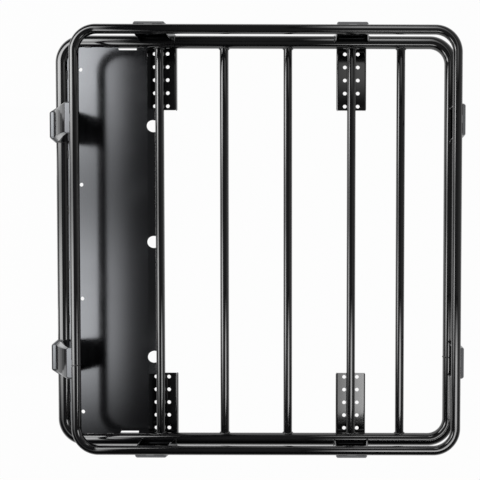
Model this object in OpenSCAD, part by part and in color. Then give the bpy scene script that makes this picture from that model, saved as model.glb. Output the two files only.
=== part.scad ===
// Two-tier roof rack basket of welded steel tube, seen on the roof from above.
// The front of the vehicle is towards -X, its right side is +Y, and +Z is up.
// The origin is at the middle of the footprint, level with the feet of the mounting plates.

/* [Lower rail] */
// Distance between the centres of the left and right rails
rail_span = 1159; // [1000:1:1300]
// Distance between the centres of the lower front and rear rails
deck_length = 1128; // [1050:1:1300]
// Outer diameter of the lower rail tube
lower_d = 36; // [30:0.5:40]
// Centre-line radius of the lower corner bends
lower_bend = 62; // [50:1:90]

/* [Upper rail] */
// Height of the upper rail's centre above the lower rail's centre
tier_height = 110; // [95:1:140]
// How far the upper front rail stands behind the lower one
front_sweep = 76.5; // [50:0.5:110]
// Outer diameter of the upper rail tube
upper_d = 26; // [20:0.1:30]
// Centre-line radius of the upper corner bends
upper_bend = 62; // [50:1:90]

/* [Crossbars] */
// Outer diameter of a crossbar tube
bar_d = 25.4; // [20:0.1:28]
// Distance from the lower front rail to the first crossbar, centre to centre
front_bay = 280.5; // [260:0.5:300]
// Distance between the first two crossbars, centre to centre
first_pitch = 188.5; // [160:0.5:200]
// Distance between the next crossbars up to the fourth, centre to centre
bar_pitch = 185.5; // [160:0.5:200]

/* [Mounting plates] */
// Width of a mounting plate across its crossbar
plate_width = 88; // [80:1:100]
// Length of a mounting plate along its crossbar
plate_length = 205; // [190:1:240]
// Distance from the side rail's centre to the plate's outer end
plate_overhang = 13; // [5:0.5:16]
// How far the front mounting plates stand behind the first crossbar
front_plate_shift = 1.5; // [0:0.5:4]
// Sheet thickness of a mounting plate
plate_sheet = 3; // [2:0.5:5]
// Height of the plate's turned-down edges, over all
plate_height = 15; // [10:0.5:25]
// Outer radius of the plate's folds and of its free corners
plate_fold = 6; // [5:0.5:8]
// Diameter of a mounting hole
hole_d = 11; // [8:0.5:13]
// Distance between the two columns of mounting holes
hole_column_gap = 38.1; // [36:0.1:46]
// Distance between neighbouring rows of mounting holes
hole_pitch = 38.1; // [30:0.1:44]
// Distance from the side rail's centre to the outermost row of holes
hole_margin = 28; // [24:0.5:32]

/* [Rail brackets] */
// Width of a rail bracket along the rail, at the lower rail
bracket_width = 101; // [92:1:110]
// Width of a rail bracket at the upper rail, to which it narrows
bracket_top_width = 86; // [76:1:92]
// Sheet thickness of a rail bracket
bracket_sheet = 3; // [2:0.5:4]
// Distance from the rails' centre plane to the bracket's outer face
bracket_face = 25.5; // [24:0.5:30]
// Distance from the rails' centre plane to the edge of the bracket's lower lip
bracket_lip = 34.7; // [32:0.1:42]
// How far the bracket's side flanges reach past the rails' centre plane
flange_reach = 6; // [3:0.5:8]
// Width of the bevel down each side of the bracket, at the lower rail
side_bevel = 11.5; // [8:0.5:13]
// Depth over which the lip's ends are bevelled
lip_bevel = 14; // [6:0.5:18]
// Height over which the top of the bracket slopes out to its face
top_slope = 6; // [4:0.5:20]
// Height above the lower rail's centre at which the lip starts to flare
lip_crease = 10; // [8:0.5:20]
// Height of the lip's straight edge
lip_edge = 4; // [2:0.5:8]
// Distance from the middle of the rack to each front and rear bracket
end_bracket_y = 336.5; // [300:0.5:380]

/* [Wind fairing] */
// Sheet thickness of the fairing
fairing_sheet = 2.5; // [1.5:0.5:4]
// Height of the fairing's top face above the lower rail's centre
fairing_rise = 6; // [2:0.5:10]
// Distance from the first crossbar's centre to the fold of the rear flange
fold_distance = 32.5; // [28:0.5:42]
// Slope of the rear flange below the level sheet
flange_slope = 20; // [10:1:30]
// Gap between each end of the rear flange and the mounting plate
flange_end_gap = 1; // [0.5:0.5:20]
// Diameter of the three cable holes
cable_hole_d = 35; // [25:1:38]
// Distance from the first crossbar's centre to the cable holes' centres
cable_hole_distance = 17.5; // [16:0.5:26]
// Distance between neighbouring cable holes
cable_hole_pitch = 337; // [300:1:345]
// Diameter of the four lamp holes
lamp_hole_d = 11; // [6:0.5:14]
// Distance from the lower front rail's centre to the lamp holes
lamp_hole_setback = 55; // [35:1:80]
// Distance between neighbouring lamp holes
lamp_hole_pitch = 332; // [300:1:340]
// Length of the slot at each end of the fairing
slot_length = 58; // [40:1:70]
// Width of the slot beside the rail tube
slot_width = 7; // [4:0.5:10]
// Length of the tab between the slot and the fold
tab_length = 30; // [20:1:40]

/* [Fits] */
// Clearance of a coped or seated part from the tube that carries it
seat_gap = 0.2; // [0.1:0.05:0.3]

/* [Hidden] */
$fn = 64;

gloss_black = [0.04, 0.04, 0.045];

// Lean of the front brackets, and their length between the rails' centres
lean = atan2(front_sweep, tier_height);
front_link = norm([front_sweep, tier_height]);

// Places of the rails, with the bounding box centred on the origin
front_reach = bracket_lip * cos(lean) + lip_edge * sin(lean);
rear_x = (front_reach + deck_length + bracket_lip) / 2 - bracket_lip;
front_x = rear_x - deck_length;
upper_front_x = front_x + front_sweep;
side_y = rail_span / 2;
lower_z = lower_d / 2 + seat_gap + plate_height;
upper_z = lower_z + tier_height;

// Places of the crossbars, whose undersides are level with the lower rail's
bar_z = lower_z - lower_d / 2 + bar_d / 2;
first_bar_x = front_x + front_bay;
fourth_bar_x = first_bar_x + first_pitch + 2 * bar_pitch;
last_bar_x = (fourth_bar_x + rear_x) / 2;
bar_places = [
    first_bar_x, first_bar_x + first_pitch, fourth_bar_x - bar_pitch, fourth_bar_x, last_bar_x
];

// Places of the mounting plates' middles
front_plate_x = first_bar_x + front_plate_shift;
rear_plate_x = fourth_bar_x;

// Rows of holes in a mounting plate, and holes in the fairing
hole_rows = 5;
cable_holes = 3;
lamp_holes = 4;

// Clear half length of the fairing's flange, between the mounting plates
plate_inner_y = side_y + plate_overhang - plate_length;
flange_half = plate_inner_y - flange_end_gap;
fold_x = first_bar_x - fold_distance;
fairing_top = lower_z + fairing_rise;

// Angles on the tubes at which the bracket's top and lip meet them, and at which the
// back edge of its flanges ends inside the lower tube
top_contact = 20;
lip_contact = 40;
toe_contact = 30;

// How far the hollow of the bracket's body runs down into the hollow of its lip
crease_overlap = 10;

// A length that reaches well past any cut, and one that stays inside a rail tube
past = 60;
inside_tube = 1;

// Straight tube along X from x1 to x2, at the height z and the place y
module tube_x(d, x1, x2, y, z) {
    translate([x1, y, z])
        rotate([0, 90, 0])
            cylinder(d = d, h = x2 - x1);
}

// Straight tube along Y from y1 to y2, at the place x and the height z
module tube_y(d, y1, y2, x, z) {
    translate([x, y2, z])
        rotate([90, 0, 0])
            cylinder(d = d, h = y2 - y1);
}

// Quarter bend of a tube about the point x, y, turned by the angle turn
module tube_bend(d, radius, x, y, z, turn) {
    translate([x, y, z])
        rotate([0, 0, turn])
            rotate_extrude(angle = 90)
                translate([radius, 0])
                    circle(d = d);
}

// One side of a rail ring: its four corners are round, with the given radius
module ring_side(d, radius, x1, x2, z, side) {
    if (side == "front") tube_y(d, radius - side_y, side_y - radius, x1, z);
    if (side == "rear") tube_y(d, radius - side_y, side_y - radius, x2, z);
    if (side == "left") tube_x(d, x1 + radius, x2 - radius, -side_y, z);
    if (side == "right") tube_x(d, x1 + radius, x2 - radius, side_y, z);
}

// One corner of a rail ring
module ring_corner(d, radius, x1, x2, z, corner) {
    if (corner == "front_left") tube_bend(d, radius, x1 + radius, radius - side_y, z, 180);
    if (corner == "front_right") tube_bend(d, radius, x1 + radius, side_y - radius, z, 90);
    if (corner == "rear_left") tube_bend(d, radius, x2 - radius, radius - side_y, z, 270);
    if (corner == "rear_right") tube_bend(d, radius, x2 - radius, side_y - radius, z, 0);
}

module lower_side(side, clearance = 0) {
    color(gloss_black)
        ring_side(lower_d + 2 * clearance, lower_bend, front_x, rear_x, lower_z, side);
}

module lower_corner(corner, clearance = 0) {
    color(gloss_black)
        ring_corner(lower_d + 2 * clearance, lower_bend, front_x, rear_x, lower_z, corner);
}

module upper_side(side) {
    color(gloss_black)
        ring_side(upper_d, upper_bend, upper_front_x, rear_x, upper_z, side);
}

module upper_corner(corner) {
    color(gloss_black)
        ring_corner(upper_d, upper_bend, upper_front_x, rear_x, upper_z, corner);
}

// Crossbar at the place x, coped onto the inner faces of the lower side rails
module crossbar(x) {
    color(gloss_black)
        difference() {
            tube_y(bar_d, -side_y, side_y, x, bar_z);
            lower_side("left", seat_gap);
            lower_side("right", seat_gap);
        }
}

// Flat-bottomed outline of the given width and height with two round top corners
module round_top(width, height, radius) {
    translate([-width / 2, 0])
        square([width, height - radius]);
    translate([radius - width / 2, 0])
        square([width - 2 * radius, height]);
    for (side = [-1, 1])
        translate([side * (width / 2 - radius), height - radius])
            circle(r = radius);
}

// Mirror image in the middle plane of the rack for side = -1
module on_side(side) {
    if (side < 0) mirror([0, 1, 0]) children();
    else children();
}

// Mounting plate with its middle at x: a perforated channel with turned-down edges.
// It lies towards +Y for side = 1 and towards -Y for side = -1.
module mount_plate(x, side) {
    outer_y = side_y + plate_overhang;
    color(gloss_black)
        translate([x, 0, 0])
            on_side(side)
                difference() {
                    intersection() {
                        translate([0, outer_y, 0])
                            rotate([90, 0, 0])
                                linear_extrude(plate_length)
                                    round_top(plate_width, plate_height, plate_fold);
                        translate([0, outer_y, 0])
                            rotate([0, 0, 180])
                                linear_extrude(plate_height)
                                    round_top(plate_width, plate_length, plate_fold);
                    }
                    translate([0, outer_y + past, 0])
                        rotate([90, 0, 0])
                            linear_extrude(plate_length + 2 * past)
                                translate([0, -past])
                                    round_top(
                                        plate_width - 2 * plate_sheet,
                                        plate_height - plate_sheet + past,
                                        plate_fold - plate_sheet
                                    );
                    for (column = [-0.5, 0.5], row = [0 : hole_rows - 1])
                        translate([column * hole_column_gap, side_y - hole_margin - row * hole_pitch, 0])
                            cylinder(d = hole_d, h = plate_height + past);
                }
}

// Unit vector from a to b, and the unit vector to its right
function along(a, b) = (b - a) / norm(b - a);
function right_of(a, b) = let (d = along(a, b)) [d[1], -d[0]];
function cross_2d(a, b) = a[0] * b[1] - a[1] * b[0];

// Corner q of a clockwise outline after its edges p-q and q-r have moved in by s and t
function moved_corner(p, q, r, s, t) =
    let (
        a = p + s * right_of(p, q),
        b = q + t * right_of(q, r),
        k = cross_2d(b - a, along(q, r)) / cross_2d(along(p, q), along(q, r))
    )
    a + k * along(p, q);

// Convex clockwise outline with edge i, from point i to the next, moved in by steps[i]
function inset(points, steps) =
    let (n = len(points))
    [for (i = [0 : n - 1])
        moved_corner(
            points[(i + n - 1) % n], points[i], points[(i + 1) % n], steps[(i + n - 1) % n], steps[i]
        )];

// Body with the side view profile (outward, up), the plan (outward, along the rail)
// and the front view front (along the rail, up)
module pressed_body(profile, plan, front, link) {
    intersection() {
        rotate([90, 0, 0])
            linear_extrude(bracket_width + 2 * past, center = true)
                polygon(profile);
        translate([0, 0, -past])
            linear_extrude(link + 2 * past)
                polygon(plan);
        rotate([90, 0, 90])
            linear_extrude(2 * past, center = true)
                polygon(front);
    }
}

// Half of the bracket's width at the height z, with the upper rail at the height link
function half_width(z, link) =
    (bracket_width + (bracket_top_width - bracket_width) * z / link) / 2;

// Front view of the bracket, which narrows upward
function narrowing_front(link) = [
    [half_width(-past, link), -past],
    [-half_width(-past, link), -past],
    [-half_width(link + past, link), link + past],
    [half_width(link + past, link), link + past]
];

// Plan of a pressed body whose front corners are bevelled over the depth bevel_depth
function bevelled_plan(front, bevel_depth) = [
    [-past, -bracket_width / 2],
    [-past, bracket_width / 2],
    [front - bevel_depth, bracket_width / 2],
    [front, bracket_width / 2 - side_bevel],
    [front, side_bevel - bracket_width / 2],
    [front - bevel_depth, -bracket_width / 2]
];

// Pressed steel bracket that stands against both rails and ties them together.
// The lower rail's centre is at the origin, the upper one's is above it by link,
// X points outward and Y runs along the rails.
module rail_bracket(link) {
    upper_r = upper_d / 2;
    lower_r = lower_d / 2;
    t = bracket_sheet;
    body_profile = [
        [-flange_reach, lip_crease],
        [-flange_reach, link],
        [upper_r * cos(top_contact), link + upper_r * sin(top_contact)],
        [bracket_face, link - top_slope],
        [bracket_face, lip_crease]
    ];
    lip_profile = [
        [-flange_reach, lip_crease],
        [bracket_face, lip_crease],
        [bracket_lip, 0],
        [bracket_lip, -lip_edge],
        [lower_r * cos(lip_contact), -lower_r * sin(lip_contact)],
        [-flange_reach, -lower_r * sin(toe_contact)]
    ];
    body_plan = bevelled_plan(bracket_face, side_bevel);
    lip_plan = bevelled_plan(bracket_lip, lip_bevel);
    front = narrowing_front(link);
    open_plan = [-past, t, t, -past, t, t];
    inner_front = inset(front, [0, t, 0, t]);
    color(gloss_black)
        difference() {
            union() {
                pressed_body(body_profile, body_plan, front, link);
                pressed_body(lip_profile, lip_plan, front, link);
            }
            pressed_body(
                inset(body_profile, [-past, -inside_tube, t, t, -crease_overlap]),
                inset(body_plan, open_plan), inner_front, link
            );
            pressed_body(
                inset(lip_profile, [t, t, t, t, -inside_tube, -past]),
                inset(lip_plan, open_plan), inner_front, link
            );
            tube_y(lower_d + 2 * seat_gap, -bracket_width, bracket_width, 0, 0);
            tube_y(upper_d + 2 * seat_gap, -bracket_width, bracket_width, 0, link);
        }
}

module front_bracket(y) {
    translate([front_x, y, lower_z])
        rotate([0, 0, 180])
            rotate([0, -lean, 0])
                rail_bracket(front_link);
}

module rear_bracket(y) {
    translate([rear_x, y, lower_z])
        rail_bracket(tier_height);
}

// Bracket at the end of a crossbar, on the right rail for side = 1 and the left for side = -1
module side_bracket(x, side) {
    translate([x, side * side_y, lower_z])
        rotate([0, 0, side * 90])
            rail_bracket(tier_height);
}

// Level part of the fairing: fills the front bay inside the lower rail's centre line
module fairing_outline() {
    difference() {
        union() {
            for (side = [-1, 1])
                translate([front_x + lower_bend, side * (side_y - lower_bend)])
                    circle(r = lower_bend);
            translate([front_x, lower_bend - side_y])
                square([fold_x - front_x, 2 * (side_y - lower_bend)]);
            translate([front_x + lower_bend, -side_y])
                square([fold_x - front_x - lower_bend, 2 * side_y]);
        }
        for (side = [-1, 1])
            end_slot(side);
        for (i = [0 : lamp_holes - 1])
            translate([front_x + lamp_hole_setback, (i - (lamp_holes - 1) / 2) * lamp_hole_pitch])
                circle(d = lamp_hole_d);
    }
}

// Slot beside the rail tube, with a slanted front end and a square rear end
module end_slot(side) {
    slot_end = fold_x - tab_length;
    slot_y = side_y - lower_d / 2 - slot_width;
    polygon([
        [slot_end, side * slot_y],
        [slot_end, side * side_y],
        [slot_end - slot_length - slot_width, side * side_y],
        [slot_end - slot_length + slot_width, side * slot_y]
    ]);
}

// Side view of the rear flange, from the fold down to the first crossbar
module flange_profile() {
    run = fold_distance;
    drop = run * tan(flange_slope);
    skin = fairing_sheet / cos(flange_slope);
    polygon([
        [fold_x, fairing_top],
        [fold_x + run, fairing_top - drop],
        [fold_x + run, fairing_top - drop - skin],
        [fold_x, fairing_top - skin]
    ]);
}

// Wind fairing: a level sheet in the front bay with a flange folded down to the first crossbar
module wind_fairing() {
    color(gloss_black)
        difference() {
            union() {
                translate([0, 0, fairing_top - fairing_sheet])
                    linear_extrude(fairing_sheet)
                        fairing_outline();
                translate([0, flange_half, 0])
                    rotate([90, 0, 0])
                        linear_extrude(2 * flange_half)
                            flange_profile();
            }
            for (side = ["front", "left", "right"])
                lower_side(side, seat_gap);
            for (corner = ["front_left", "front_right"])
                lower_corner(corner, seat_gap);
            tube_y(bar_d + 2 * seat_gap, -side_y, side_y, first_bar_x, bar_z);
            for (i = [0 : cable_holes - 1])
                translate([
                    first_bar_x - cable_hole_distance,
                    (i - (cable_holes - 1) / 2) * cable_hole_pitch,
                    bar_z - past
                ])
                    cylinder(d = cable_hole_d, h = 2 * past);
        }
}

lower_side("front");  // lower_rail_front
lower_side("rear");  // lower_rail_rear
lower_side("left");  // lower_rail_left
lower_side("right");  // lower_rail_right
lower_corner("front_left");  // lower_bend_front_left
lower_corner("front_right");  // lower_bend_front_right
lower_corner("rear_left");  // lower_bend_rear_left
lower_corner("rear_right");  // lower_bend_rear_right
upper_side("front");  // upper_rail_front
upper_side("rear");  // upper_rail_rear
upper_side("left");  // upper_rail_left
upper_side("right");  // upper_rail_right
upper_corner("front_left");  // upper_bend_front_left
upper_corner("front_right");  // upper_bend_front_right
upper_corner("rear_left");  // upper_bend_rear_left
upper_corner("rear_right");  // upper_bend_rear_right
crossbar(bar_places[0]);  // crossbar_1
crossbar(bar_places[1]);  // crossbar_2
crossbar(bar_places[2]);  // crossbar_3
crossbar(bar_places[3]);  // crossbar_4
crossbar(bar_places[4]);  // crossbar_5
mount_plate(front_plate_x, -1);  // mount_plate_front_left
mount_plate(front_plate_x, 1);  // mount_plate_front_right
mount_plate(rear_plate_x, -1);  // mount_plate_rear_left
mount_plate(rear_plate_x, 1);  // mount_plate_rear_right
front_bracket(-end_bracket_y);  // bracket_front_left
front_bracket(end_bracket_y);  // bracket_front_right
rear_bracket(-end_bracket_y);  // bracket_rear_left
rear_bracket(end_bracket_y);  // bracket_rear_right
side_bracket(first_bar_x, -1);  // bracket_left_front
side_bracket(fourth_bar_x, -1);  // bracket_left_rear
side_bracket(first_bar_x, 1);  // bracket_right_front
side_bracket(fourth_bar_x, 1);  // bracket_right_rear
wind_fairing();
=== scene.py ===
"""Looks of a welded roof rack basket: paint, pressed brackets, weld beads, studio and camera.

Metres. The front of the vehicle is towards -X, its right side is +Y, and +Z is up.
"""

import math
import random

import bmesh
import bpy
from mathutils import Matrix, Vector


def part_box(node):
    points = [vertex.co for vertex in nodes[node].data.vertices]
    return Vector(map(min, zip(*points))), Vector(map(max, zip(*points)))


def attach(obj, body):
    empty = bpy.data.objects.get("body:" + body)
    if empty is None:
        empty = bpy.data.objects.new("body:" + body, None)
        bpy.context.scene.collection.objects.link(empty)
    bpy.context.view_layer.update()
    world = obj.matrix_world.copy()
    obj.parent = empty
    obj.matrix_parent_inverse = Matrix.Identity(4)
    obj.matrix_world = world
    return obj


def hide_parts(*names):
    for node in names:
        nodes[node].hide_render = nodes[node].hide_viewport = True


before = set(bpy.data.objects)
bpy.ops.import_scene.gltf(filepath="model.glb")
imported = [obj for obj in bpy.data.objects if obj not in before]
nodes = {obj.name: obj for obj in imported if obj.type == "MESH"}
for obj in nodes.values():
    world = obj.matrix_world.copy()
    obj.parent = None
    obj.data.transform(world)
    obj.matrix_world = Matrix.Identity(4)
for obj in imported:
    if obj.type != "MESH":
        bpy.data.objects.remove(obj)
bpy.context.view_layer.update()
MM = 0.001


# Sizes of the rack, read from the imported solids

def middle(node):
    low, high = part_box(node)
    return (Vector(low) + Vector(high)) / 2


def extent(node):
    low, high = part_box(node)
    return Vector(high) - Vector(low)


LOWER_R = extent("lower_rail_front").z / 2
UPPER_R = extent("upper_rail_front").z / 2
BAR_R = extent("crossbar_1").z / 2
LOWER_FRONT = middle("lower_rail_front")
LOWER_REAR = middle("lower_rail_rear")
UPPER_FRONT = middle("upper_rail_front")
UPPER_REAR = middle("upper_rail_rear")
SIDE_Y = middle("lower_rail_right").y
LOWER_Z = LOWER_FRONT.z
UPPER_Z = UPPER_FRONT.z
BAR_Z = middle("crossbar_1").z
BAR_X = [middle(f"crossbar_{i}").x for i in range(1, 6)]
PLATE_TOP = Vector(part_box("mount_plate_front_left")[1]).z
FAIRING_TOP = Vector(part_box("wind_fairing")[1]).z
END_BRACKET_Y = middle("bracket_rear_right").y


# Shader maths

class Value:
    """A socket of a material's node tree, on which +, -, * and / add Math nodes."""

    def __init__(self, maker, socket):
        self.maker = maker
        self.socket = socket

    def _math(self, operation, a, b):
        return self.maker.add("ShaderNodeMath", {"operation": operation}, {0: a, 1: b})

    def __add__(self, other):
        return self._math("ADD", self, other)

    __radd__ = __add__

    def __sub__(self, other):
        return self._math("SUBTRACT", self, other)

    def __rsub__(self, other):
        return self._math("SUBTRACT", other, self)

    def __mul__(self, other):
        return self._math("MULTIPLY", self, other)

    __rmul__ = __mul__

    def __truediv__(self, other):
        return self._math("DIVIDE", self, other)

    def clipped(self):
        return self.maker.add("ShaderNodeClamp", {}, {0: self})


class Maker:
    """Adds nodes to one node tree."""

    def __init__(self, tree):
        self.tree = tree
        self.tree.nodes.clear()

    def add(self, kind, settings=None, inputs=None, output=0):
        """Adds a node: its settings first, then the values or links of its sockets."""
        node = self.tree.nodes.new(kind)
        for key, value in (settings or {}).items():
            if key == "stops":
                ramp = node.color_ramp
                while len(ramp.elements) < len(value):
                    ramp.elements.new(0.5)
                for element, (place, colour) in zip(ramp.elements, value):
                    element.position = place
                    element.color = (*colour, 1)
            else:
                setattr(node, key, value)
        for key, value in (inputs or {}).items():
            if isinstance(value, Value):
                self.tree.links.new(value.socket, node.inputs[key])
            else:
                node.inputs[key].default_value = value
        return Value(self, node.outputs[output]) if node.outputs else None

    def place(self):
        return self.add("ShaderNodeTexCoord", output="Object")

    def noise(self, scale, detail=2.0, roughness=0.5, vector=None):
        vector = vector or self.place()
        return self.add("ShaderNodeTexNoise", {}, {
            "Vector": vector, "Scale": scale, "Detail": detail, "Roughness": roughness})

    def stretched(self, factors):
        return self.add("ShaderNodeMapping", {}, {"Vector": self.place(), "Scale": factors})

    def ramp(self, value, stops):
        return self.add("ShaderNodeValToRGB", {"stops": stops}, {0: value})

    def stepped(self, value, low, high):
        """0 below low, 1 above high, smooth between."""
        return self.add("ShaderNodeMapRange", {"interpolation_type": "SMOOTHSTEP"}, {
            "Value": value, "From Min": low, "From Max": high, "To Min": 0.0, "To Max": 1.0})

    def mixed(self, factor, first, second):
        """Colour between first and second."""
        node = self.tree.nodes.new("ShaderNodeMix")
        node.data_type = "RGBA"
        for socket, value in ((0, factor), (6, first), (7, second)):
            if isinstance(value, Value):
                self.tree.links.new(value.socket, node.inputs[socket])
            else:
                node.inputs[socket].default_value = value
        return Value(self, node.outputs[2])

    def bump(self, height, distance, strength=1.0, below=None):
        inputs = {"Height": height, "Distance": distance, "Strength": strength}
        if below:
            inputs["Normal"] = below
        return self.add("ShaderNodeBump", {}, inputs)


# Materials

COAT_BLACK = (0.0030, 0.0030, 0.0034, 1)
DUSTY_BLACK = (0.011, 0.011, 0.012, 1)
PLAIN_SHEEN = (1.0, 1.0, 1.0, 1.0)
# Painted cool reflection: a bluish tint in the reflections of the brackets and fairing stands in for the cool cast of
# their surroundings.
PAINTED_COOL_REFLECTION = (0.92, 0.95, 1.0, 1.0)
COAT_SPECULAR = 0.85


def gloss_coat(name, roughness, peel_depth, dust=0.25, wave_depth=0.0, reflection_tint=PLAIN_SHEEN):
    """Gloss black powder coat: orange peel, faint handling marks and a little settled dust, with its reflections tinted
    by the given colour, which is a painted cool reflection for the brackets and fairing.
    """
    material = bpy.data.materials.new(name)
    material.use_nodes = True
    m = Maker(material.node_tree)
    haze = m.stepped(m.noise(9.0, 4.0, 0.6), 0.45, 0.75)
    marks = m.stepped(m.noise(70.0, 5.0, 0.65), 0.58, 0.8)
    specks = m.stepped(m.noise(900.0, 1.0, 0.5), 0.70, 0.78)
    up = m.add("ShaderNodeSeparateXYZ", {}, {0: m.add("ShaderNodeNewGeometry", output="Normal")}, "Z")
    settled = m.stepped(up, 0.3, 1.0)
    dusty = (haze * 0.6 + specks * 0.5) * settled * dust
    colour = m.mixed(dusty.clipped(), COAT_BLACK, DUSTY_BLACK)
    rough = (haze * 0.03 + marks * 0.02 + roughness).clipped()
    peel = m.noise(260.0, 2.0, 0.5) + m.noise(90.0, 1.0, 0.5) * 0.8
    normal = m.bump(peel, peel_depth)
    if wave_depth:
        normal = m.bump(m.noise(11.0, 1.0, 0.4), wave_depth, below=normal)
    shader = m.add("ShaderNodeBsdfPrincipled", {}, {
        "Base Color": colour, "Roughness": rough, "Normal": normal,
        "Specular IOR Level": COAT_SPECULAR, "Specular Tint": reflection_tint, "IOR": 1.5})
    m.add("ShaderNodeOutputMaterial", {}, {"Surface": shader})
    return material


def weld_coat(name, roughness=0.10):
    """The same paint over weld metal, which it covers less evenly."""
    material = bpy.data.materials.new(name)
    material.use_nodes = True
    m = Maker(material.node_tree)
    grain = m.noise(600.0, 3.0, 0.6)
    spatter = m.noise(1500.0, 2.0, 0.5)
    colour = m.mixed(m.stepped(grain, 0.5, 0.8), COAT_BLACK, DUSTY_BLACK)
    rough = grain * 0.10 + roughness
    normal = m.bump(grain + spatter * 0.5, 0.00012)
    shader = m.add("ShaderNodeBsdfPrincipled", {}, {
        "Base Color": colour, "Roughness": rough, "Normal": normal,
        "Specular IOR Level": COAT_SPECULAR, "IOR": 1.5})
    m.add("ShaderNodeOutputMaterial", {}, {"Surface": shader})
    return material


tube_coat = gloss_coat("tube_gloss_black", 0.09, 0.000004)
plate_coat = gloss_coat("plate_gloss_black", 0.09, 0.000006)
# The bracket and fairing coats carry the painted cool reflection tint.
bracket_coat = gloss_coat("bracket_gloss_black", 0.12, 0.000006, reflection_tint=PAINTED_COOL_REFLECTION)
fairing_coat = gloss_coat("fairing_high_gloss_black", 0.17, 0.000004, dust=0.15, wave_depth=0.00004, reflection_tint=PAINTED_COOL_REFLECTION)
bead_coat = weld_coat("weld_gloss_black")
seam_coat = weld_coat("seam_satin_black", 0.45)


# Meshes

def new_piece(name, mesh_maker, material):
    """Makes a mesh object from a bmesh and lets it ride on the rack."""
    mesh = bpy.data.meshes.new(name)
    mesh_maker.to_mesh(mesh)
    mesh_maker.free()
    piece = bpy.data.objects.new(name, mesh)
    bpy.context.collection.objects.link(piece)
    mesh.materials.append(material)
    for face in mesh.polygons:
        face.use_smooth = True
    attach(piece, "root")
    return piece


def apply_modifiers(piece):
    """Replaces the piece's mesh by its evaluated mesh."""
    graph = bpy.context.evaluated_depsgraph_get()
    evaluated = bpy.data.meshes.new_from_object(piece.evaluated_get(graph))
    piece.modifiers.clear()
    old = piece.data
    piece.data = evaluated
    bpy.data.meshes.remove(old)


# Pressed brackets

BRACKET_HALF = 50.5 * MM
TOP_HALF = 43 * MM
FLAT_HALF = 36.5 * MM
TOP_FLAT_HALF = 40 * MM
BRACKET_FACE = 25.5 * MM
BRACKET_LIP = 34.7 * MM
FLANGE_REACH = 6 * MM
BODY_BEVEL_SLOPE = 1.0
LIP_BEVEL_SLOPE = 1.22
TOP_SLOPE = 6 * MM
LIP_CREASE = 10 * MM
LIP_EDGE = 8 * MM
SHEET = 3 * MM
TOP_RADIUS = 9 * MM
CROWN = [(0.0, -2.2), (0.14, 0.4), (0.28, 1.9), (0.46, 2.3), (0.68, 2.2), (0.86, 1.6), (1.0, 0.5)]
CREASE_RADIUS = 6 * MM
LIP_RADIUS = 12 * MM
EDGE_RADIUS = 3 * MM
CORNER_RADIUS = 8 * MM
TOP_CONTACT = math.radians(20)
LIP_CONTACT = math.radians(40)


def rounded(corners, radii, steps=5):
    """Polyline of 2-D corners whose inner corners are rounded."""
    line = [Vector(corners[0])]
    for before, corner, after, radius in zip(corners, corners[1:], corners[2:], radii):
        corner = Vector(corner)
        back, ahead = Vector(before) - corner, Vector(after) - corner
        half = back.angle(ahead) / 2
        cut = min(radius / math.tan(half), 0.48 * back.length, 0.48 * ahead.length)
        start, end = corner + back.normalized() * cut, corner + ahead.normalized() * cut
        for k in range(steps + 1):
            t = k / steps
            line.append(start * (1 - t) ** 2 + corner * 2 * t * (1 - t) + end * t ** 2)
    line.append(Vector(corners[-1]))
    return line


def bracket_row(outward, up, link):
    """Points round the bracket's outer skin at one height, from flange to flange."""
    half = BRACKET_HALF + (TOP_HALF - BRACKET_HALF) * up / link
    flat = FLAT_HALF + (TOP_FLAT_HALF - FLAT_HALF) * max(up, 0) / link
    flare = min(max((LIP_CREASE - up) / LIP_CREASE, 0), 1)
    slope = BODY_BEVEL_SLOPE + (LIP_BEVEL_SLOPE - BODY_BEVEL_SLOPE) * flare
    depth = min((half - flat) * slope, outward + FLANGE_REACH - 2 * MM)
    corners = [
        (-FLANGE_REACH, -half), (outward - depth, -half), (outward, -flat),
        (outward, flat), (outward - depth, half), (-FLANGE_REACH, half)]
    radius = min(CORNER_RADIUS, depth)
    row = rounded(corners, [radius] * 4)
    low, high = -LOWER_R / 2, link
    return [(x, y, min(max(up, low), high) if x < -FLANGE_REACH + 0.01 * MM else up) for x, y in row]


def crowned_face(high, low):
    """Side view of the outer face, which rounds back towards its top."""
    return [(BRACKET_FACE + out * MM, high + (low - high) * down) for down, out in CROWN]


def bracket_mesh(link):
    """Outer skin of a pressed bracket. X is outward, Y along the rails and Z up."""
    top = (UPPER_R * math.cos(TOP_CONTACT), link + UPPER_R * math.sin(TOP_CONTACT))
    face = crowned_face(link - TOP_SLOPE, LIP_CREASE)
    lip = [(BRACKET_LIP, 0), (BRACKET_LIP, -LIP_EDGE)]
    bottom = (LOWER_R * math.cos(LIP_CONTACT), -LOWER_R * math.sin(LIP_CONTACT))
    radii = [TOP_RADIUS] + [20 * MM] * (len(face) - 2) + [CREASE_RADIUS, LIP_RADIUS, EDGE_RADIUS]
    profile = rounded([top] + face + lip + [bottom], radii)
    bm = bmesh.new()
    rows = [[bm.verts.new(p) for p in bracket_row(outward, up, link)] for outward, up in profile]
    for upper, lower in zip(rows, rows[1:]):
        for i in range(len(upper) - 1):
            bm.faces.new((upper[i], lower[i], lower[i + 1], upper[i + 1]))
    bmesh.ops.remove_doubles(bm, verts=bm.verts, dist=0.01 * MM)
    bmesh.ops.recalc_face_normals(bm, faces=bm.faces)
    if sum(f.normal.x * f.calc_area() for f in bm.faces) < 0:
        bmesh.ops.reverse_faces(bm, faces=bm.faces)
    return bm


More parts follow.
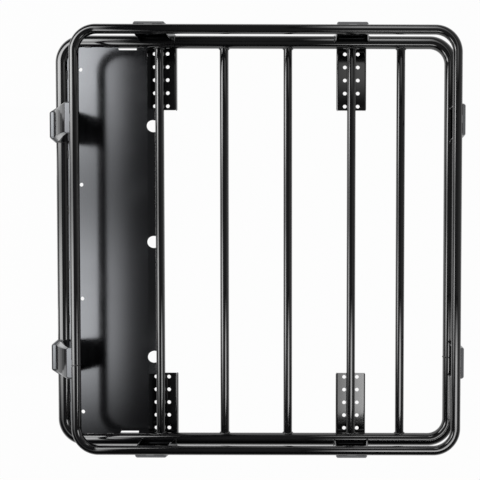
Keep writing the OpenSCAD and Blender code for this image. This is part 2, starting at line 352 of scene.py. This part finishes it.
def pressed_bracket(node, link, place):
    """Rounded pressed bracket that stands for a bracket node."""
    bm = bracket_mesh(link)
    bmesh.ops.transform(bm, matrix=place, verts=bm.verts)
    piece = new_piece(f"pressed_{node}", bm, bracket_coat)
    skin = piece.modifiers.new("sheet", "SOLIDIFY")
    skin.thickness = SHEET
    skin.offset = -1
    edge = piece.modifiers.new("edge", "BEVEL")
    edge.width = 0.5 * MM
    edge.segments = 2
    edge.limit_method = "ANGLE"
    edge.angle_limit = math.radians(60)
    normals = piece.modifiers.new("normals", "WEIGHTED_NORMAL")
    normals.keep_sharp = True
    apply_modifiers(piece)
    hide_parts(node)
    return piece


def bracket_places():
    """Each bracket's node, the distance between its rails, and its place."""
    tier = UPPER_Z - LOWER_Z
    sweep = UPPER_FRONT.x - LOWER_FRONT.x
    lean = math.atan2(sweep, tier)
    places = []
    for side, sign in (("left", -1), ("right", 1)):
        front = Matrix.Translation((LOWER_FRONT.x, sign * END_BRACKET_Y, LOWER_Z))
        front = front @ Matrix.Rotation(math.pi, 4, "Z") @ Matrix.Rotation(-lean, 4, "Y")
        places.append((f"bracket_front_{side}", math.hypot(sweep, tier), front))
        rear = Matrix.Translation((LOWER_REAR.x, sign * END_BRACKET_Y, LOWER_Z))
        places.append((f"bracket_rear_{side}", tier, rear))
        for end, x in (("front", BAR_X[0]), ("rear", BAR_X[3])):
            turned = Matrix.Rotation(sign * math.pi / 2, 4, "Z")
            places.append((f"bracket_{side}_{end}", tier, Matrix.Translation((x, sign * SIDE_Y, LOWER_Z)) @ turned))
    return places


# Weld beads

BEAD_SIDES = 10
BEAD_PITCH = 2.2 * MM
BEAD_STEP = 0.55 * MM


def resampled(points, step):
    """Points at even steps along a polyline."""
    lengths = [0.0]
    for a, b in zip(points, points[1:]):
        lengths.append(lengths[-1] + (b - a).length)
    count = max(4, round(lengths[-1] / step))
    out = []
    i = 0
    for k in range(count + 1):
        s = lengths[-1] * k / count
        while i < len(points) - 2 and lengths[i + 1] < s:
            i += 1
        span = max(lengths[i + 1] - lengths[i], 1e-9)
        out.append(points[i].lerp(points[i + 1], (s - lengths[i]) / span))
    return out


def add_bead(bm, points, radius, closed=False, flat=1.0, rng=None):
    """A rippled weld bead along a line of points, with tapered ends when it isn't closed."""
    rng = rng or random.Random(len(points))
    line = resampled([Vector(p) for p in points], BEAD_STEP)
    if closed:
        line = line[:-1]
    count = len(line)
    rings = []
    across = None
    swell = 1.0
    for k, p in enumerate(line):
        before = line[k - 1] if k or closed else line[0]
        after = line[(k + 1) % count] if k < count - 1 or closed else line[-1]
        along = (after - before).normalized()
        if across is None:
            across = along.orthogonal().normalized()
        across = (across - along * across.dot(along)).normalized()
        third = along.cross(across)
        phase = (k * BEAD_STEP / BEAD_PITCH) % 1.0
        if phase < BEAD_STEP / BEAD_PITCH:
            swell = 1.0 + rng.uniform(-0.08, 0.08)
        r = radius * swell * (0.84 + 0.16 * math.sqrt(1 - (1 - phase) ** 2))
        if not closed:
            end = min(k, count - 1 - k) * BEAD_STEP / (1.6 * radius)
            r *= math.sqrt(max(0.02, 1 - (1 - min(end, 1.0)) ** 2))
        ring = []
        for j in range(BEAD_SIDES):
            a = 2 * math.pi * j / BEAD_SIDES
            ring.append(bm.verts.new(p + (across * math.cos(a) + third * math.sin(a) * flat) * r))
        rings.append(ring)
    pairs = list(zip(rings, rings[1:]))
    if closed:
        pairs.append((rings[-1], rings[0]))
    for first, second in pairs:
        for j in range(BEAD_SIDES):
            n = (j + 1) % BEAD_SIDES
            bm.faces.new((first[j], first[n], second[n], second[j]))
    if not closed:
        bm.faces.new(rings[0][::-1])
        bm.faces.new(rings[-1])


def crossbar_welds():
    """Beads round both ends of each crossbar, on the inner faces of the lower side rails."""
    bm = bmesh.new()
    rng = random.Random(11)
    lowest, highest = math.radians(-62), math.radians(242)
    for x in BAR_X:
        for sign in (-1, 1):
            line = []
            for k in range(61):
                a = lowest + (highest - lowest) * k / 60
                z = BAR_Z + BAR_R * math.sin(a)
                depth = math.sqrt(max(LOWER_R ** 2 - (z - LOWER_Z) ** 2, 0))
                line.append((x + BAR_R * math.cos(a), sign * (SIDE_Y - depth), z))
            add_bead(bm, line, 3.1 * MM, rng=rng)
    return new_piece("welds_crossbars", bm, bead_coat)


def arc(centre, radius, start, end, to_point, count=40):
    return [to_point(radius * math.cos(a) + centre[0], radius * math.sin(a) + centre[1])
            for a in (start + (end - start) * k / count for k in range(count + 1))]


def bracket_welds(node, link, place):
    """Beads where a bracket's top edge and side flanges meet the two rails."""
    bm = bmesh.new()
    rng = random.Random(sum(map(ord, node)))
    top = (UPPER_R * math.cos(TOP_CONTACT), link + UPPER_R * math.sin(TOP_CONTACT))
    seam = TOP_FLAT_HALF
    for start, end in ((-seam, -0.25 * seam), (0.25 * seam, seam)):
        add_bead(bm, [(top[0], start, top[1]), (top[0], end, top[1])], 1.3 * MM, rng=rng)
    for sign in (-1, 1):
        upper_start, upper_end = math.radians(-5), math.radians(-118)
        lower_start, lower_end = math.radians(25), math.radians(110)
        on_flange = lambda a, b: (a, sign * (BRACKET_HALF + (TOP_HALF - BRACKET_HALF) * b / link), b)
        add_bead(bm, arc((0, link), UPPER_R, upper_start, upper_end, on_flange), 1.8 * MM, rng=rng)
        add_bead(bm, arc((0, 0), LOWER_R, lower_start, lower_end, on_flange), 2.0 * MM, rng=rng)
    bmesh.ops.transform(bm, matrix=place, verts=bm.verts)
    return new_piece(f"welds_{node}", bm, bead_coat)


def fairing_welds():
    """Stitches that hold the fairing to the first crossbar and to the lower rail."""
    bm = bmesh.new()
    rng = random.Random(5)
    rise = FAIRING_TOP - LOWER_Z
    contact = math.sqrt(LOWER_R ** 2 - rise ** 2)
    z = FAIRING_TOP + 0.3 * MM
    bar_side = BAR_X[0] - BAR_R * math.cos(math.radians(14))
    bar_level = BAR_Z + BAR_R * math.sin(math.radians(14))
    for hole_y in (-337 * MM, 0, 337 * MM):
        for sign in (-1, 1):
            near, far = hole_y + sign * 21 * MM, hole_y + sign * 46 * MM
            add_bead(bm, [(bar_side, near, bar_level), (bar_side, far, bar_level)], 1.6 * MM, rng=rng)
    front_x = LOWER_FRONT.x + contact
    for y in (-470, -240, -80, 80, 240, 470):
        add_bead(bm, [(front_x, y * MM, z), (front_x, (y + 26) * MM, z)], 1.5 * MM, rng=rng)
    for sign in (-1, 1):
        y = sign * (SIDE_Y - contact)
        fold_x = BAR_X[0] - 32.5 * MM
        for near, far in ((4, 28), (100, 124), (160, 182)):
            add_bead(bm, [(fold_x - near * MM, y, z), (fold_x - far * MM, y, z)], 1.5 * MM, rng=rng)
    return new_piece("welds_fairing", bm, bead_coat)


def plate_welds():
    """Fillets between each mounting plate and the crossbar and rail that stand on it."""
    bm = bmesh.new()
    rng = random.Random(23)
    sit = PLATE_TOP + 1.2 * MM
    for x in (BAR_X[0], BAR_X[3]):
        for sign in (-1, 1):
            for side in (-1, 1):
                for y in (-552, -494, -440, -402):
                    run = [(x + side * 6.5 * MM, sign * -y * MM, sit), (x + side * 6.5 * MM, sign * (-y - 22) * MM, sit)]
                    add_bead(bm, run, 1.7 * MM, rng=rng)
                for start, end in ((14, 26), (30, 42)):
                    y = sign * (SIDE_Y - 8 * MM)
                    add_bead(bm, [(x + side * start * MM, y, sit + 0.6 * MM), (x + side * end * MM, y, sit + 0.6 * MM)],
                             1.8 * MM, rng=rng)
    return new_piece("welds_plates", bm, bead_coat)


def ring_seams():
    """Butt welds at which each bent ring closes, ground down to a low band."""
    bm = bmesh.new()
    rng = random.Random(3)
    for centre, radius in ((Vector((UPPER_FRONT.x, -342 * MM, UPPER_Z)), UPPER_R),
                           (Vector((LOWER_REAR.x, -335 * MM, LOWER_Z)), LOWER_R)):
        line = [centre + Vector((math.cos(a), 0, math.sin(a))) * (radius - 1.6 * MM)
                for a in (2 * math.pi * k / 72 for k in range(73))]
        add_bead(bm, line, 2.7 * MM, closed=True, rng=rng)
    return new_piece("welds_ring_seams", bm, seam_coat)


# Put the rack together

for name, node in nodes.items():
    coat = tube_coat
    if name.startswith("mount_plate"):
        coat = plate_coat
    elif name.startswith("wind"):
        coat = fairing_coat
    elif name.startswith("bracket"):
        coat = bracket_coat
    for slot in node.material_slots:
        slot.material = coat

for node, link, place in bracket_places():
    pressed_bracket(node, link, place)
    bracket_welds(node, link, place)
crossbar_welds()
fairing_welds()
plate_welds()
ring_seams()


# Studio

def emitter(name, corners, brightness):
    """A soft light panel that the camera doesn't see, with its brightness as nodes."""
    bm = bmesh.new()
    bm.faces.new([bm.verts.new(c) for c in corners])
    bmesh.ops.subdivide_edges(bm, edges=bm.edges, cuts=3, use_grid_fill=True)
    mesh = bpy.data.meshes.new(name)
    bm.to_mesh(mesh)
    bm.free()
    panel = bpy.data.objects.new(name, mesh)
    bpy.context.collection.objects.link(panel)
    material = bpy.data.materials.new(name)
    material.use_nodes = True
    m = Maker(material.node_tree)
    x = m.add("ShaderNodeSeparateXYZ", {}, {0: m.place()}, "X")
    y = m.add("ShaderNodeSeparateXYZ", {}, {0: m.place()}, "Y")
    glow = m.add("ShaderNodeEmission", {}, {"Strength": brightness(m, x, y)})
    m.add("ShaderNodeOutputMaterial", {}, {"Surface": glow})
    mesh.materials.append(material)
    panel.visible_camera = False
    return panel


def front_light(m, x, y):
    """Two lamps behind one cloth, which dims towards the rack and at its far end."""
    cloth = m.stepped(x, -0.635, -0.70) * 0.47 + m.stepped(x, -0.70, -0.80) * 0.53
    far_end = 1 - m.stepped(x, -1.70, -2.05) * 0.4
    right_lamp = m.stepped(y, 0.05, 0.75) * (1 - m.stepped(y, 0.80, 1.10) * 0.4) * 7.6
    left_lamp = m.stepped(y, -0.86, -0.36) * (1 - m.stepped(y, -0.20, 0.44)) * 6.0
    return cloth * far_end * (right_lamp + left_lamp)


def rear_left_light(m, x, y):
    """One lamp whose edges towards the middle of the rack and towards the rear are soft."""
    return m.stepped(x, 0.10, 0.42) * (1 - m.stepped(x, 0.65, 0.95) * 0.6) * m.stepped(y, -0.20, -0.48) * 5.6


def rear_right_light(m, x, y):
    """The same on the right, with a dim fringe towards the rack."""
    across = m.stepped(x, 0.05, 0.35) * (1 - m.stepped(x, 0.55, 0.85))
    return across * (m.stepped(y, 0.60, 0.74) + m.stepped(y, 0.84, 0.95) * 2.6)


def ceiling_light(m, x, y):
    """Faint light that fades towards the front and the left and grows to the rear."""
    near = m.stepped(x, -0.65, -0.20) * m.stepped(y, -1.00, -0.60) * (m.stepped(x, 0.30, 1.20) * 0.12 + 0.11)
    front = m.stepped(x, -1.30, -2.30) * 0.03
    rear = m.stepped(x, 0.60, 1.90) * (1 - m.stepped(x, 2.20, 4.50)) * 0.15
    return near + front + rear + OVERHEAD


def studio_floor():
    """Pale floor: white to the camera and in reflections, with the rack's soft shadow kept."""
    bm = bmesh.new()
    half = 60.0
    bm.faces.new([bm.verts.new((x, y, -0.0006)) for x, y in ((-half, -half), (half, -half), (half, half), (-half, half))])
    mesh = bpy.data.meshes.new("floor")
    bm.to_mesh(mesh)
    bm.free()
    floor = bpy.data.objects.new("floor", mesh)
    bpy.context.collection.objects.link(floor)
    material = bpy.data.materials.new("pale_floor")
    material.use_nodes = True
    m = Maker(material.node_tree)
    tone = m.mixed(m.stepped(m.noise(0.8, 2.0), 0.3, 0.7), (0.12, 0.12, 0.12, 1), (0.14, 0.14, 0.14, 1))
    matt = m.add("ShaderNodeBsdfDiffuse", {}, {"Color": tone})
    white = m.add("ShaderNodeEmission", {}, {"Strength": 1.0})
    seen = m.add("ShaderNodeLightPath", output="Is Camera Ray")
    gloss = m.add("ShaderNodeLightPath", output="Is Glossy Ray")
    through = m.add("ShaderNodeLightPath", output="Is Transmission Ray")
    share = (seen + gloss + through).clipped() * SEEN_WHITE
    m.add("ShaderNodeOutputMaterial", {}, {
        "Surface": m.add("ShaderNodeMixShader", {}, {0: share, 1: matt, 2: white})})
    mesh.materials.append(material)
    return floor


def studio_world():
    """White to the camera and in reflections, and otherwise faint."""
    world = bpy.data.worlds.new("studio")
    bpy.context.scene.world = world
    world.use_nodes = True
    m = Maker(world.node_tree)
    seen = m.add("ShaderNodeLightPath", output="Is Camera Ray")
    gloss = m.add("ShaderNodeLightPath", output="Is Glossy Ray")
    through = m.add("ShaderNodeLightPath", output="Is Transmission Ray")
    white = (seen + gloss + through).clipped()
    strength = white + (1 - white) * FAINT
    m.add("ShaderNodeOutputWorld", {}, {"Surface": m.add("ShaderNodeBackground", {}, {
        "Color": (1, 1, 1, 1), "Strength": strength})})


SEEN_WHITE = 0.98
OVERHEAD = 0.01
FAINT = 0.15

PANEL_Z = 0.89
FAR_Z = 0.68
CEILING_Z = 0.95
CEILING_HALF = 20.0


CARD_Z = 2 * MM
CARD_GLOW = {"left": 0.3, "right": 0.75}
INNER_GLOW = 1.5


def floor_card(start, end):
    """A pale card on the floor in front of a front bracket."""
    near, far = sorted((start, end))
    return [(-0.60, near, CARD_Z), (-0.60, far, CARD_Z), (-1.00, far, CARD_Z), (-1.00, near, CARD_Z)]


def card_light(m, x, glow):
    """Brightness of a floor card, which falls away from the rack."""
    return m.stepped(x, -0.70, -0.62) * glow + m.stepped(x, -0.84, -0.70) * 0.2 + 0.06


def panel(x_near, x_far, y_low, y_high, z_near=PANEL_Z, z_far=PANEL_Z):
    return [(x_near, y_low, z_near), (x_near, y_high, z_near), (x_far, y_high, z_far), (x_far, y_low, z_far)]


emitter("front_panel", panel(-0.60, -2.05, -0.9, 1.15, z_far=FAR_Z), front_light)
for side, sign in (("left", -1), ("right", 1)):
    emitter(f"front_card_{side}", floor_card(sign * 0.305, sign * 0.40), lambda m, x, y: card_light(m, x, CARD_GLOW[side]))
    emitter(f"inner_card_{side}", floor_card(sign * 0.20, sign * 0.278), lambda m, x, y: INNER_GLOW)
emitter("rear_left_panel", panel(0.10, 0.95, -0.735, -0.20), rear_left_light)
emitter("rear_right_panel", panel(0.05, 0.85, 0.60, 1.60), rear_right_light)
emitter("ceiling_panel", panel(-CEILING_HALF, CEILING_HALF, -CEILING_HALF, CEILING_HALF, CEILING_Z, CEILING_Z),
        ceiling_light)
studio_floor()
studio_world()


# Camera, from the fit of the photograph's edges

PICTURE = 480
FOCAL_PX = 641.74
PRINCIPAL_X, PRINCIPAL_Y = 332.69, 269.77
SENSOR = 36.0
CAMERA_AT = Vector((217.6 * MM, -32.8 * MM, LOWER_Z + 1879.4 * MM))
TURN_X, TURN_Y, TURN_Z = 0.0253, 0.00152, -0.0020


def picture_camera():
    data = bpy.data.cameras.new("camera")
    data.sensor_width = SENSOR
    data.sensor_fit = "HORIZONTAL"
    data.lens = FOCAL_PX / PICTURE * SENSOR
    data.shift_x = (PICTURE / 2 - PRINCIPAL_X) / PICTURE
    data.shift_y = (PRINCIPAL_Y - PICTURE / 2) / PICTURE
    data.clip_end = 100
    camera = bpy.data.objects.new("camera", data)
    bpy.context.collection.objects.link(camera)
    turn = Matrix.Rotation(TURN_Z, 4, "Z") @ Matrix.Rotation(TURN_Y, 4, "Y") @ Matrix.Rotation(TURN_X, 4, "X")
    camera.matrix_world = Matrix.Translation(CAMERA_AT) @ turn.transposed()
    bpy.context.scene.camera = camera


picture_camera()
bpy.context.scene.view_settings.view_transform = "Standard"
